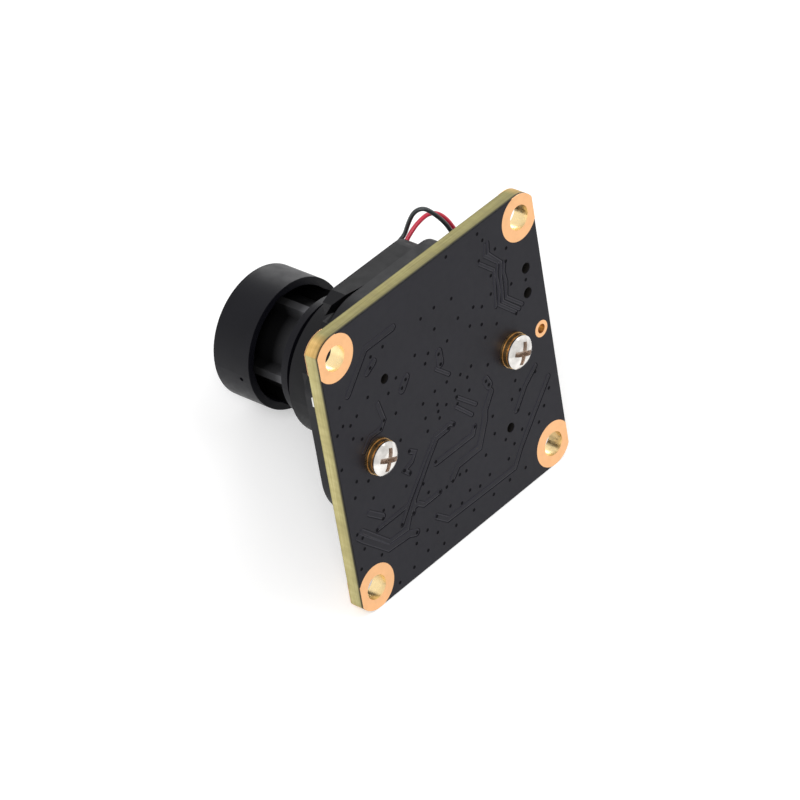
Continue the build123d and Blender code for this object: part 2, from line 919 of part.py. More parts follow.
def plug_size():
    return (
        header_size[0] - 2 * header_wall - 2 * plug_gap,
        header_size[1] - 2 * header_wall - 2 * plug_gap,
        plug_height,
    )


def plug_front():
    return board_front - plug_floor_gap - plug_height


def lead_header():
    body = block(header_place, header_size, board_front)
    inner = (header_size[0] - 2 * header_wall, header_size[1] - 2 * header_wall, header_size[2])
    body -= block(header_place, inner, board_front - plug_floor_gap)
    body -= block(
        (header_x - header_size[0] / 2, header_z),
        (2 * header_wall + 2 * cut_overrun, header_notch_width, header_size[2]),
        board_front - header_notch_drop,
    )
    for place in header_peg_places():
        body += drum(place, header_peg_diameter, -peg_recess, board_front)
    for place in pin_places():
        body -= block(place, (pin_width, pin_width, plug_floor_gap), board_front)
    return body


def header_pins():
    tall = plug_floor_gap + pin_share * plug_height
    return [block(place, (pin_width, pin_width, tall), board_front) for place in pin_places()]


def lead_plug():
    body = block(header_place, plug_size(), board_front - plug_floor_gap)
    body = fillet(body.edges().filter_by(Axis.Y), plug_round)
    room = pin_width + pin_room
    deep = plug_bore_share * plug_height
    for place in pin_places():
        body -= block(place, (room, room, deep), board_front - plug_floor_gap)
    return body


def ffc_parts_x():
    return [(index - (ffc_pins - 1) / 2) * ffc_pitch for index in range(ffc_pins)]


def ffc_slot_back():
    """Back wall of the slot, next to the board."""
    return board_front - ffc_floor


def ffc_housing():
    tall = ffc_top - ffc_mouth
    middle = (ffc_top + ffc_mouth) / 2
    body = block((0, middle), (ffc_width, tall, ffc_height), board_front)
    body = chamfer(body.faces().sort_by(Axis.Y)[0].edges().filter_by(Axis.X), ffc_bevel)
    slot_mid = ffc_mouth + ffc_slot_depth / 2
    back = ffc_slot_back()
    body -= block((0, slot_mid), (ffc_slot_width, ffc_slot_depth, ffc_slot_height), back)
    for side in (-1, 1):
        x = side * (ffc_width / 2 - ffc_arm_inset)
        body -= block((x, ffc_mouth + ffc_arm_room[1] / 2), ffc_arm_room, back)
    groove = ffc_contact_width + ffc_contact_gap
    beam_start, beam_room = ffc_beam_groove
    for x in ffc_parts_x():
        body -= block((x, middle), (groove, tall, ffc_foot_groove), board_front)
        body -= block((x, slot_mid), (groove, ffc_slot_depth, beam_room), board_front - beam_start)
    return body


def ffc_latch():
    """Slider with a tongue that presses the cable on the contacts."""
    bar_mid = ffc_mouth - ffc_latch_depth / 2
    bar_size = (ffc_width - 2 * ffc_latch_bevel, ffc_latch_depth, ffc_height - ffc_latch_step)
    bar = block((0, bar_mid), bar_size, board_front - ffc_latch_step)
    bar = chamfer(bar.edges().filter_by(Axis.X).sort_by(Axis.Z)[:2], ffc_latch_bevel)
    front = ffc_slot_back() - ffc_slot_height
    tongue_long = ffc_tongue_share * ffc_slot_depth
    tongue_mid = ffc_mouth + tongue_long / 2
    tongue_size = (ffc_slot_width - 4 * ffc_tongue_gap, tongue_long, ffc_tongue)
    bar += block((0, tongue_mid), tongue_size, front + ffc_tongue + ffc_tongue_gap)
    arm_back = ffc_slot_back() - (ffc_arm_room[2] - ffc_arm[2]) / 2
    for side in (-1, 1):
        x = side * (ffc_width / 2 - ffc_arm_inset)
        bar += block((x, ffc_mouth + ffc_arm[1] / 2), ffc_arm, arm_back)
    return bar


def ffc_contacts():
    """Bent strips: a foot on the board behind the housing and a spring beam in the slot."""
    rise = ffc_contact_rise
    thick = ffc_contact_thickness
    high = board_front - ffc_contact_gap / 2
    beam = ffc_slot_back()
    near, touch, back, deep = (ffc_mouth + share * ffc_slot_depth for share in ffc_contact_bends)
    side = Polyline(
        (high, ffc_top + thick),
        (high - thick, ffc_top + thick),
        (high - thick, deep),
        (beam + rise, deep),
        (beam - rise, touch),
        (beam + rise, near),
        (beam + rise + thick, near),
        (beam + rise - thick / 10, touch),
        (high, back),
        close=True,
    )
    contacts = []
    for x in ffc_parts_x():
        strip = make_face(Plane(origin=(x, 0, 0), x_dir=(0, 1, 0), z_dir=(1, 0, 0)) * side)
        contacts.append(extrude(strip, amount=ffc_contact_width / 2, both=True))
    return contacts


def hold_downs():
    """Solder lugs at both ends of the flat-cable connector."""
    across = (ffc_width + lug_size[0]) / 2
    return [block((side * across, ffc_top - lug_drop), lug_size, board_front) for side in (-1, 1)]


def image_sensor():
    return block((axis_x, axis_z), sensor_size, board_front)


def sensor_glass():
    return block((axis_x, axis_z), sensor_glass_size, board_front - sensor_size[2])


def regulators():
    x = board_width / 2 - chip_margin
    places = [(x, regulator_z + step * regulator_pitch / 2) for step in (1, -1)]
    return [block(place, regulator_size, board_front) for place in places]


def oscillator():
    body = block((board_width / 2 - chip_margin, oscillator_z), oscillator_size, board_front)
    return chamfer(body.faces().sort_by(Axis.Y)[0].edges(), oscillator_bevel)


def indicator_chip():
    return block((board_width / 2 - indicator_margin, indicator_z), indicator_size, board_front)


def chip_places():
    """Small chip parts as (x, z, turned), along both sides and round the sensor."""
    left = board_width / 2 - chip_margin - chip_row_inset
    right = header_x
    rows = [(left, z, True) for z in chip_row_left]
    rows += [(right, z, True) for z in chip_row_right]
    for side in (-1, 1):
        reach = side * chip_ring_reach
        rows += [(axis_x + x, axis_z + reach, False) for x in chip_ring_long]
        rows += [(axis_x + reach, axis_z + z, True) for z in chip_ring_short]
    return rows


def chip_bodies():
    bodies = []
    for x, z, turn in chip_places():
        long_side = (chip_length, chip_width, chip_width)
        size = long_side if turn else (chip_width, chip_length, chip_width)
        bodies.append(block((x, z), size, board_front))
    return bodies


def chip_ends():
    ends = []
    high = chip_width + chip_end_lip
    for x, z, turn in chip_places():
        for side in (-1, 1):
            step = side * (chip_length + chip_end_length) / 2
            place = (x + step, z) if turn else (x, z + step)
            size = (chip_end_length, chip_end_width) if turn else (chip_end_width, chip_end_length)
            ends.append(block(place, (*size, high), board_front))
    return ends


def group(solids):
    return Compound(children=list(solids))


def parts():
    first, second = filter_places()
    return {
        "circuit_board": circuit_board(),
        "corner_lands": group(corner_lands()),
        "io_land": io_land(),
        "holder_screws": group(holder_screw(place) for place in screw_places()),
        "flat_washers": group(flat_washer(place) for place in screw_places()),
        "spring_washers": group(spring_washer(place) for place in screw_places()),
        "holder_base": holder_base(),
        "holder_cover": holder_cover(),
        "filter_carriage": filter_carriage(),
        "ir_cut_filter": filter_glass(first),
        "clear_filter": filter_glass(second),
        "upper_yoke": yoke_half(1),
        "lower_yoke": yoke_half(-1),
        "coil_bobbin": coil_bobbin(),
        "coil_winding": coil_winding(),
        "coil_terminals": group(coil_terminals()),
        "rotor_magnet": rotor_magnet(),
        "rotor_arm": rotor_arm(),
        "rotor_shaft": rotor_shaft(),
        "lens_barrel": lens_barrel(),
        "front_glass": front_glass(),
        "front_retainer": front_retainer(),
        "middle_glass": middle_glass(),
        "spacer_ring": spacer_ring(),
        "rear_glass": rear_glass(),
        "rear_retainer": rear_retainer(),
        "black_lead": black_lead(),
        "red_lead": red_lead(),
        "lead_header": lead_header(),
        "header_pins": group(header_pins()),
        "lead_plug": lead_plug(),
        "ffc_housing": ffc_housing(),
        "ffc_latch": ffc_latch(),
        "ffc_contacts": group(ffc_contacts()),
        "ffc_hold_downs": group(hold_downs()),
        "image_sensor": image_sensor(),
        "sensor_glass": sensor_glass(),
        "voltage_regulators": group(regulators()),
        "oscillator": oscillator(),
        "indicator_chip": indicator_chip(),
        "chip_bodies": group(chip_bodies()),
        "chip_ends": group(chip_ends()),
    }


def main():
    os.makedirs("parts", exist_ok=True)
    for name, shape in parts().items():
        export_step(shape, f"parts/{name}.step")


main()
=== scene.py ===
import json
import math

import bmesh
import bpy
from mathutils import Matrix, Vector
from mathutils.geometry import delaunay_2d_cdt


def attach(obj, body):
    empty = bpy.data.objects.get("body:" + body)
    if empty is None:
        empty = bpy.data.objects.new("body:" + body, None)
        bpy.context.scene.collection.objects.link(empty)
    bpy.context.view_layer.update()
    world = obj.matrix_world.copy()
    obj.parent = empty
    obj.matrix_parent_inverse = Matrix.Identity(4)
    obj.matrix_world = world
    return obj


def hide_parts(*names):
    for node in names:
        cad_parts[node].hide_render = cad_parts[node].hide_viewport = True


# Sizes of the object are in millimetres, as in the CAD, and times MM in metres
MM = 0.001

# Board
BOARD_HALF_X = 15.5
BOARD_FRONT = -1.6
MOUNT_X = 13.35
MOUNT_Z = 13.55
MOUNT_ROUND = 2.45
LINING_RADIUS = 1.4
LAND_RADIUS = 2.5
CORNERS = [(1, 1), (-1, 1), (-1, -1), (1, -1)]
CORNER_STEPS = 8
EDGE_DEPTH = 0.1

# Screws as (x, z, radius of their washers) and the shape of their heads
SCREWS = [(10.15, 0.2, 1.8), (-9.75, 0.2, 1.8)]
HEAD_TOP = 1.55
HEAD_FLAT = 0.525
HEAD_CROWN = 1.75
RECESS_REACH = 1.3
RECESS_DEPTH = 0.7
CROWN_ROOM = 0.03

# Hollow between the lens's flange and its hood
HOLLOW_FLOOR = -22.4
HOLLOW_MOUTH = -16.05
HOOD_REAR = -19.9
HOOD_RIM = 0.3
NECK_INSIDE = 4.2
HOOD_INSIDE = 6.0
RIB_REACH = 6.5
END_ROOM = 0.05

# Skin of solder mask over the copper, with a groove round each run and a dimple at each via.
# A face within the share of a bare place's radius is left out.
SKIN_HEIGHT = 0.045
SKIN_INSET = 0.04
GROOVE_WIDTH = 0.2
GROOVE_DEPTH = 0.04
VIA_RIM = 0.2
VIA_FLOOR = 0.12
VIA_RIM_POINTS = 10
VIA_FLOOR_POINTS = 8
SMALL_HOLE = 1.0
SMALL_HOLE_POINTS = 20
LARGE_HOLE_POINTS = 48
RUN_END_POINTS = 5
SHARPEST_TURN = 0.4
HOLE_SHARE = 0.99
MERGE_DISTANCE = 1e-4

# Round places that the mask leaves bare, as (x, z, radius)
LAND_LAP = 0.02
IO_LAND = (-14.1, 0.0, 0.88)
FRONT_BARE = [(sx * MOUNT_X, sz * MOUNT_Z, LAND_RADIUS - LAND_LAP) for sx, sz in CORNERS]
FRONT_BARE.append(IO_LAND)
PEG_HOLES = [(7.6, 7.6, 0.53), (-7.85, -8.05, 0.53), (-13.25, 7.7, 0.58), (-13.0, 4.95, 0.58)]
BACK_BARE = [*FRONT_BARE, *SCREWS, *PEG_HOLES]

# Copper runs on the back as (width, points)
BACK_RUNS = [
    (0.5, [(5.45, 12.2), (9.4, 12.2), (12.6, 8.8)]),
    (0.5, [(9.7, 9.6), (8.6, 10.2)]),
    (0.7, [(4.85, 6.0), (5.6, 5.1)]),
    (0.7, [(0.1, 6.0), (0.1, 4.7)]),
    (0.7, [(-5.5, -0.8), (-5.85, -1.65)]),
    (0.6, [(-5.9, -2.5), (-4.75, -3.95), (-4.5, -5.0), (-3.2, -7.45), (0.05, -7.5), (0.95, -8.4)]),
    (0.4, [(-3.0, -4.85), (-2.6, -5.5), (2.85, -5.45)]),
    (0.25, [(-0.3, -2.8), (0.1, -2.45), (2.45, -2.45), (3.85, -3.8), (6.9, -7.0), (8.65, -9.1)]),
    (0.25, [(0.5, -2.85), (2.2, -2.9), (3.5, -4.2), (6.4, -7.45), (6.9, -8.85)]),
    (0.25, [(6.05, -1.95), (5.35, -2.5), (5.95, -3.25), (7.1, -3.6), (6.5, -4.3)]),
    (0.3, [
        (3.0, -8.85), (5.3, -8.85), (6.05, -8.25), (7.1, -8.3),
        (8.05, -10.0), (10.65, -9.85), (13.9, -6.4),
    ]),
    (0.55, [(6.9, -11.2), (7.8, -10.75), (10.8, -10.5), (13.7, -7.6), (14.5, -6.7)]),
    (0.25, [(7.4, -7.55), (11.95, -7.55)]),
    (0.4, [(10.9, -6.6), (12.6, -5.1)]),
    (0.3, [(9.05, 5.6), (8.6, 3.4), (9.2, 2.7), (10.7, 2.75), (11.85, 1.7)]),
    (0.4, [(-14.0, -5.75), (-8.9, -11.0), (-7.55, -12.75), (2.5, -12.5), (3.95, -11.2)]),
    (0.4, [(-12.45, -3.5), (-10.7, -4.7), (-9.0, -6.65)]),
    (0.16, [
        (-8.2, 13.4), (-8.0, 12.3), (-9.6, 10.6), (-9.2, 9.35),
        (-9.25, 7.45), (-8.9, 6.05), (-11.0, 3.9),
    ]),
    (0.16, [
        (-8.65, 13.4), (-8.5, 12.2), (-10.05, 10.3), (-9.75, 8.9),
        (-9.65, 7.3), (-9.5, 6.05), (-11.55, 3.95),
    ]),
    (0.16, [(-7.15, 11.85), (-8.95, 10.05), (-8.75, 8.7), (-8.45, 6.1)]),
    (0.16, [(-10.5, 10.05), (-10.2, 9.1), (-10.35, 7.8), (-10.05, 6.2), (-12.05, 4.2)]),
    (0.16, [(-1.3, -0.2), (-3.7, -2.55)]),
    (0.16, [(-1.0, -1.15), (-2.95, -3.35)]),
    (0.16, [(0.8, 4.45), (-0.8, 2.85)]),
]

# Vias on the back as (x, z)
BACK_VIAS = [
    (-7.45, 15.15), (-8.0, 14.1), (-9.5, 12.2), (-11.0, 11.4), (-7.1, 12.25), (-10.7, 10.05),
    (-8.4, 9.75), (-10.95, 7.25), (-13.0, 6.5), (-8.0, 7.85), (-2.7, 10.55), (-0.25, 11.0),
    (-5.4, 7.9), (-6.55, 7.25), (-11.0, 3.7), (-3.15, 8.0), (1.7, 10.9), (0.15, 8.75),
    (-4.55, 6.2), (-6.15, 5.4), (-8.15, 4.25), (-6.35, 3.75), (-1.25, 6.5), (1.5, 6.75),
    (0.15, 5.8), (2.1, 5.9), (0.1, 4.6), (-3.85, 1.9), (-6.1, 0.65), (-2.9, 15.25),
    (7.15, 11.05), (8.9, 10.95), (9.2, 9.85), (3.25, 7.6), (-2.25, 1.9), (-3.1, 1.05),
    (-0.3, 2.25), (6.15, 6.8), (5.6, 5.25), (4.95, 5.85), (7.45, 5.8), (10.15, 7.05),
    (13.9, 8.2), (1.45, 2.25), (-1.2, 0.7), (-3.1, -0.5), (-1.3, -0.2), (-1.25, -0.95),
    (0.25, -0.1), (1.4, 0.65), (3.25, 1.9), (6.95, 3.15), (11.95, 6.0), (1.45, -0.15),
    (3.25, 0.2), (1.4, -0.95), (8.6, 3.35), (13.9, 6.05), (12.95, 5.5), (9.2, 2.7),
    (-0.3, -2.8), (0.5, -2.8), (3.25, -1.35), (-3.05, -4.85), (14.8, 5.5), (12.9, 3.95),
    (11.8, 3.2), (6.95, -0.05), (6.05, -1.95), (7.1, -3.6), (6.45, -4.3), (2.85, -5.3),
    (-0.95, -8.85), (0.0, -8.7), (1.05, -8.8), (13.45, -0.75), (11.95, -1.65), (5.0, -6.55),
    (7.25, -5.35), (2.0, -8.9), (3.0, -8.85), (4.5, -7.9), (15.05, 1.65), (14.0, -2.35),
    (11.7, -3.85), (9.35, -6.45), (10.7, -6.0), (10.95, -6.85), (6.9, -8.85), (8.65, -9.1),
    (11.95, -7.55), (14.6, -6.35), (14.0, -7.15), (14.0, -8.45), (11.95, -10.55), (6.9, -11.2),
    (5.5, -11.85), (4.2, -13.0), (7.2, -12.35), (5.85, -14.1), (3.95, -11.2), (1.95, -11.25),
    (0.35, -11.95), (-1.0, -11.25), (-2.45, -11.7), (-4.1, -13.8), (-1.1, -13.75), (1.6, -13.85),
    (-4.0, -11.3), (3.6, -14.75), (8.05, -14.7), (10.25, -15.1), (14.85, -10.35), (-5.5, -0.95),
    (-5.8, -1.55), (-9.45, -3.35), (-9.9, -4.75), (-8.6, -5.1), (-9.25, -6.8), (-10.65, -8.15),
    (-12.35, -4.1), (-13.9, -7.05), (-12.85, -8.55), (-11.8, -9.9), (-5.65, -5.25), (-9.35, -9.2),
    (-6.9, -8.9), (-5.55, -7.3), (-8.0, -10.1), (-3.9, -8.85), (-6.9, -11.25), (-9.0, -13.7),
    (-6.6, -13.65),
]

# Copper runs and vias on the front, round the holder
FRONT_RUNS = [
    (0.4, [(-9.6, 13.9), (-4.0, 13.9), (-2.6, 15.2), (3.4, 15.2)]),
    (0.16, [(-8.8, 14.6), (-4.3, 14.6), (-3.2, 15.7)]),
    (0.16, [(4.4, 15.5), (8.6, 15.5), (10.2, 13.9)]),
    (0.16, [(1.2, 14.3), (7.8, 14.3), (9.4, 12.7)]),
    (0.5, [(15.0, 10.6), (15.0, 7.4), (14.6, 7.0)]),
    (0.16, [(12.9, 9.4), (12.9, 5.4), (14.7, 3.6), (14.7, 1.2)]),
    (0.16, [(13.3, 4.2), (14.2, 3.3), (14.2, 0.4)]),
    (0.3, [(12.95, 1.4), (12.95, -2.6), (14.9, -4.6), (14.9, -8.9)]),
    (0.16, [(13.0, -7.6), (13.0, -9.6), (11.6, -11.0)]),
    (0.5, [(-15.0, 10.4), (-15.0, 8.9)]),
    (0.16, [(-12.85, 10.0), (-12.85, 8.8)]),
    (0.4, [(-12.95, 3.4), (-12.95, 1.6), (-13.6, 0.95)]),
    (0.16, [(-12.8, 0.7), (-12.8, -5.4), (-14.9, -7.5), (-14.9, -10.2)]),
    (0.16, [(-13.2, -6.6), (-14.3, -7.7), (-14.3, -9.9)]),
]
FRONT_VIAS = [
    (-9.9, 14.9), (-6.0, 15.2), (-1.0, 14.2), (4.1, 15.3), (0.6, 14.3), (8.9, 14.9),
    (5.9, 13.7), (14.9, 6.3), (12.9, 9.9), (14.7, 0.7), (14.2, -0.2), (12.95, 2.0),
    (14.9, -9.4), (13.0, -7.0), (12.8, 3.9), (15.0, -2.2), (-12.85, 10.5), (-15.0, 8.4),
    (-14.9, -5.2), (-12.8, -9.3), (-13.2, -6.1), (-15.0, 2.4), (-14.9, -1.7), (-11.0, -10.6),
    (11.0, -10.4),
]

# Routes of the leads, as in the CAD
BLACK_ROUTE = [
    (-4.95, -5.05, 11.05), (-4.95, -8.7, 11.05), (-5.7, -10.3, 10.9), (-7.8, -10.3, 11.2),
    (-8.1, -9.85, 12.6), (-8.4, -9.1, 14.1), (-9.03, -8.28, 14.5), (-9.7, -7.6, 13.6),
    (-10.32, -6.98, 12.42), (-10.6, -6.6, 11.3), (-11.5, -6.5, 9.6), (-12.4, -7.0, 7.9),
    (-13.4, -7.5, 6.5), (-13.9, -6.7, 5.68), (-13.9, -5.2, 5.68),
]
RED_ROUTE = [
    (-5.85, -5.05, 11.05), (-5.85, -8.1, 11.05), (-6.6, -9.5, 10.85), (-7.8, -9.45, 11.8),
    (-8.7, -9.1, 12.65), (-10.03, -8.82, 13.07), (-10.96, -8.4, 12.68), (-11.65, -7.99, 11.67),
    (-12.03, -7.67, 10.5), (-12.9, -7.6, 8.8), (-13.7, -7.5, 7.5), (-13.9, -6.6, 6.93),
    (-13.9, -5.2, 6.93),
]
LEAD_RADIUS = 0.225
LEAD_ROUND_STEPS = 5
LEAD_LENGTH_STEPS = 10

# Camera, fitted to the photograph: its place in metres and its axes
CAMERA_PLACE = (0.260369, 0.273424, 0.266644)
CAMERA_RIGHT = Vector((-0.65393087, 0.74334112, -0.14077781))
CAMERA_UP = Vector((-0.51184452, -0.29766074, 0.80586182))
CAMERA_BACK = Vector((0.5571262, 0.59903428, 0.57512462))
FOCAL_LENGTH = 216.48
SENSOR_WIDTH = 36.0
NEAREST = 0.01
FARTHEST = 20.0

# Stage, with lengths in metres and power in watts
FLOOR_LEVEL = -16.1 * MM
FLOOR_TILT = math.radians(20)
FLOOR_REACH = 3.0
FLOOR_GREY = (0.8, 0.8, 0.8, 1)
FLOOR_GLOW = 0.32
ROOM_LIGHT = 0.55
WHITE = (1, 1, 1, 1)

# Square lights that face the origin, as (name, place, width, power)
SOFTBOXES = [
    ("key", (0.55, 0.35, 0.45), 0.6, 4.0),
    ("fill", (-0.45, 0.3, 0.6), 0.6, 2.0),
    ("rim", (-0.5, -0.43, 0.27), 0.3, 0.8),
]

# Colours
MASK = (0.0075, 0.0071, 0.0115)
PLASTIC = (0.005, 0.005, 0.0062)
BARREL = (0.004, 0.004, 0.0062)
# Colour of the barrel's hollow where its painted light is strongest, near the flange
HOLLOW_PAINTED_LIGHT_GREY = (0.11, 0.11, 0.118)
PLAIN_TINT = (1.0, 1.0, 1.0)
# Painted shade on the board's edges that face up and down
LEVEL_EDGE_PAINTED_SHADE = (0.64, 0.65, 0.58)
# Painted light on the board's rounded corners
CORNER_PAINTED_LIGHT = (1.4, 1.02, 0.8)
RESIN_COLOURS = [(0.0, (0.36, 0.31, 0.125)), (0.5, (0.44, 0.385, 0.165)), (1.0, (0.53, 0.475, 0.23))]
WIRE_COLOURS = [(0.35, (0.28, 0.09, 0.03)), (0.65, (0.62, 0.26, 0.1))]

# Shades as (share of the way, factor): across the board's edge from its front to its back,
# and up the lens's hollow from its floor to its mouth, where they are painted shade deep in the
# hollow and painted light near its mouth
EDGE_SHADES = [(0.0, 0.5), (0.07, 1.1), (0.5, 1.0), (0.8, 0.8), (0.93, 0.06)]
HOLLOW_PAINTED_SHADES = [(0.0, 0.02), (0.55, 0.02), (0.85, 0.28), (1.0, 0.85)]

# Length along a corner of the board over which its tint changes from the level edges' painted shade
# to the corner's painted light
CORNER_BLEND = 1.2

# Grain of moulded plastic
GRAIN_WIDTH = 0.12

# Range in which most of a noise texture's values lie
NOISE_LOW = 0.3
NOISE_HIGH = 0.7

# Refractive indices of the glass and of the film on it
GLASS_IOR = 1.52
FILM_IOR = 1.38

# Limits on a face normal's Y on the board's edge and in a lining, and on its Z where level
SIDE_LIMIT = 0.7
LINING_LIMIT = 0.5
LEVEL_LIMIT = 0.8


def cleared_tree(owner):
    """Node tree of a material or a world, with no nodes left in it."""
    owner.use_nodes = True
    owner.node_tree.nodes.clear()
    return owner.node_tree


class Shader:
    """A node tree with one Principled shader and short ways to add texture to it."""

    def __init__(self, name):
        self.material = bpy.data.materials.new(name)
        self.tree = cleared_tree(self.material)
        self.shader = self.new("ShaderNodeBsdfPrincipled")
        output = self.new("ShaderNodeOutputMaterial")
        self.link(self.shader.outputs[0], output.inputs["Surface"])
        self.coordinates = self.new("ShaderNodeTexCoord").outputs["Object"]

    def new(self, kind):
        return self.tree.nodes.new(kind)

    def link(self, source, target):
        self.tree.links.new(source, target)

    def set(self, **values):
        """Constants on the shader's sockets, with _ for a space in their names."""
        for name, value in values.items():
            self.shader.inputs[name.replace("_", " ")].default_value = value
        return self

    def noise(self, scale, detail=3.0, stretch=(1, 1, 1), offset=(0, 0, 0)):
        """Noise texture of so many features to a metre."""
        mapping = self.new("ShaderNodeMapping")
        mapping.inputs["Scale"].default_value = stretch
        mapping.inputs["Location"].default_value = offset
        self.link(self.coordinates, mapping.inputs["Vector"])
        noise = self.new("ShaderNodeTexNoise")
        noise.inputs["Scale"].default_value = scale
        noise.inputs["Detail"].default_value = detail
        self.link(mapping.outputs[0], noise.inputs["Vector"])
        return noise.outputs["Fac"]

    def axis(self, name):
        """A point's own X, Y or Z."""
        axes = self.new("ShaderNodeSeparateXYZ")
        self.link(self.coordinates, axes.inputs[0])
        return axes.outputs[name]

    def maths(self, kind, *values):
        """One maths node on one or two values."""
        node = self.new("ShaderNodeMath")
        node.operation = kind
        for value, socket in zip(values, node.inputs):
            self.link(value, socket)
        return node.outputs[0]

    def ramp(self, value, stops):
        """Colours between stops of (position, colour)."""
        ramp = self.new("ShaderNodeValToRGB")
        elements = ramp.color_ramp.elements
        while len(elements) < len(stops):
            elements.new(0.5)
        for element, (position, colour) in zip(elements, stops):
            element.position = position
            element.color = (*colour, 1.0)
        self.link(value, ramp.inputs["Fac"])
        return ramp.outputs["Color"]

    def spread(self, value, low, high, start=NOISE_LOW, end=NOISE_HIGH):
        """Values between start and end, moved to between low and high."""
        spread = self.new("ShaderNodeMapRange")
        spread.inputs["From Min"].default_value = start
        spread.inputs["From Max"].default_value = end
        spread.inputs["To Min"].default_value = low
        spread.inputs["To Max"].default_value = high
        self.link(value, spread.inputs["Value"])
        return spread.outputs["Result"]

    def product(self, first, second):
        """Product of two colours."""
        node = self.new("ShaderNodeMix")
        node.data_type = "RGBA"
        node.blend_type = "MULTIPLY"
        node.inputs["Factor"].default_value = 1.0
        self.link(first, node.inputs[6])
        self.link(second, node.inputs[7])
        return node.outputs[2]

    def colour(self, value):
        self.link(value, self.shader.inputs["Base Color"])

    def blotches(self, dark, light, scale, detail):
        """Colour that drifts between two colours."""
        self.colour(self.ramp(self.noise(scale, detail), [(NOISE_LOW, dark), (NOISE_HIGH, light)]))

    def roughness(self, value):
        self.link(value, self.shader.inputs["Roughness"])

    def uneven_gloss(self, rough, swing, scale):
        """Roughness that drifts by a swing to either side."""
        self.roughness(self.spread(self.noise(scale), rough - swing, rough + swing))

    def bump(self, value, height):
        """Bumps of a height in millimetres."""
        bump = self.new("ShaderNodeBump")
        bump.inputs["Distance"].default_value = height * MM
        self.link(value, bump.inputs["Height"])
        self.link(bump.outputs["Normal"], self.shader.inputs["Normal"])


def shade(colour, factor):
    return tuple(c * factor for c in colour)


def moulded(name, colour, rough, grain_height=0.004, gloss=0.5):
    """Moulded plastic with a fine grain and slightly uneven gloss."""
    m = Shader(name).set(Specular_IOR_Level=gloss)
    m.blotches(shade(colour, 0.88), shade(colour, 1.12), scale=350.0, detail=2.0)
    m.uneven_gloss(rough, 0.05, scale=900.0)
    m.bump(m.noise(1 / (GRAIN_WIDTH * MM), detail=2.0), grain_height)
    return m


def plated(name, colour, rough, vary=0.08, scratch=True):
    """Plated metal with soft blotches and fine scratches."""
    m = Shader(name).set(Metallic=1.0)
    m.blotches(shade(colour, 1 - vary), colour, scale=900.0, detail=3.0)
    m.uneven_gloss(rough, 0.06, scale=2500.0)
    if scratch:
        m.bump(m.noise(3000.0, detail=4.0, stretch=(1, 1, 6)), 0.002)
    return m


def solder_mask(name, colour, rough, gloss):
    """Solder mask: satin, with a faint orange peel."""
    m = Shader(name).set(Specular_IOR_Level=gloss)
    m.blotches(shade(colour, 0.9), shade(colour, 1.1), scale=160.0, detail=2.0)
    m.uneven_gloss(rough, 0.04, scale=1200.0)
    m.bump(m.noise(5000.0, detail=2.0), 0.0015)
    return m


def insulation(name, colour):
    """Smooth insulation of a lead."""
    m = Shader(name)
    m.blotches(shade(colour, 0.88), shade(colour, 1.1), scale=600.0, detail=2.0)
    m.uneven_gloss(0.38, 0.06, scale=2000.0)
    m.bump(m.noise(4000.0, detail=2.0), 0.003)
    return m


def laminate(name, tint, far_tint=None):
    """Routed glass-fibre laminate, darker at the mask on either side.

    Along a corner of the board its tint changes from far_tint, if that is given, to tint.
    """
    m = Shader(name).set(Specular_IOR_Level=0.3)
    layers = m.noise(2600.0, detail=2.0, stretch=(0.08, 2.6, 0.08))
    fibres = m.noise(1500.0, detail=4.0, stretch=(1, 0.3, 1), offset=(3, 1, 2))
    streaks = m.spread(m.maths("ADD", layers, fibres), 0.0, 1.0, start=0.7, end=1.3)
    away = m.maths("ABSOLUTE", m.axis("X"))
    turn = m.spread(away, 0.0, 1.0, start=MOUNT_X * MM, end=(MOUNT_X + CORNER_BLEND) * MM)
    tints = m.ramp(turn, [(0.0, far_tint or tint), (1.0, tint)])
    resin = m.product(m.ramp(streaks, RESIN_COLOURS), tints)
    depth = m.spread(m.axis("Y"), 0.0, 1.0, start=BOARD_FRONT * MM, end=0.0)
    shades = m.ramp(depth, [(at, (factor, factor, factor)) for at, factor in EDGE_SHADES])
    m.colour(m.product(resin, shades))
    m.roughness(m.spread(fibres, 0.5, 0.75))
    m.bump(fibres, 0.01)
    return m


def plastic_with_painted_hollow_light_and_shade(name, colour, gloss):
    """Moulded plastic in the hollow behind the hood, with painted shade that deepens towards its
    floor and painted light near its mouth.
    """
    m = Shader(name).set(Specular_IOR_Level=gloss, Roughness=0.5)
    rise = m.spread(m.axis("Y"), 0.0, 1.0, start=HOLLOW_FLOOR * MM, end=HOLLOW_MOUTH * MM)
    m.colour(m.ramp(rise, [(at, shade(colour, factor)) for at, factor in HOLLOW_PAINTED_SHADES]))
    m.bump(m.noise(8000.0, detail=2.0), 0.002)
    return m


def optical(name, tint, film=0.0):
    """Polished glass, with an anti-reflection film where film is its thickness in nm."""
    m = Shader(name).set(Roughness=0.02, IOR=GLASS_IOR, Transmission_Weight=1.0)
    if film:
        m.set(Thin_Film_Thickness=film, Thin_Film_IOR=FILM_IOR)
    cloud = m.noise(120.0, detail=1.0)
    m.colour(m.ramp(cloud, [(0.2, shade(tint, 0.97)), (0.8, tint)]))
    return m


def winding(name):
    """Turns of enamelled wire that lie side by side."""
    m = Shader(name).set(Metallic=0.7)
    turns = m.noise(3000.0, detail=1.0, stretch=(0.05, 0.05, 4.0))
    m.colour(m.ramp(turns, WIRE_COLOURS))
    m.roughness(m.spread(turns, 0.5, 0.3))
    m.bump(turns, 0.04)
    return m


